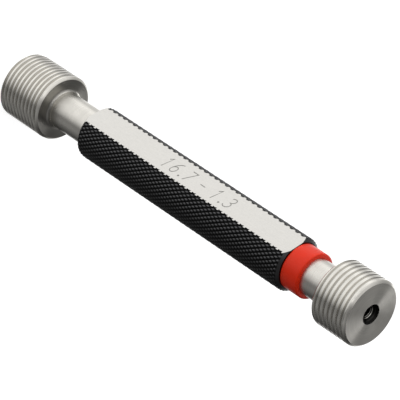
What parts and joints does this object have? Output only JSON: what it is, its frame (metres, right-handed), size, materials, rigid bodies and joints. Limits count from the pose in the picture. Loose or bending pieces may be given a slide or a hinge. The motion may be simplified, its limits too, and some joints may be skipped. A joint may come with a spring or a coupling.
{
  "type": "thread plug gauge",
  "caption": "Double-ended thread plug gauge: a long threaded GO plug and a short NO-GO plug with a red ring, on a knurled black handle with a ground flat.",
  "frame": {"origin": "centre of the GO end's face, which the gauge stands on", "axes": "+Z along the gauge's axis from the GO end to the NO-GO end; the ground flat of the handle faces -Y"},
  "size_m": [0.0166, 0.0166, 0.1204],
  "materials": {
    "gauge_steel": "hardened and ground",
    "handle_black": "black oxide on steel, knurled",
    "ring_red": "gloss"
  },
  "bodies": {
    "root": {"go_plug": "gauge_steel", "nogo_plug": "gauge_steel", "handle": "handle_black", "nogo_ring": "ring_red"}
  },
  "joints": []
}
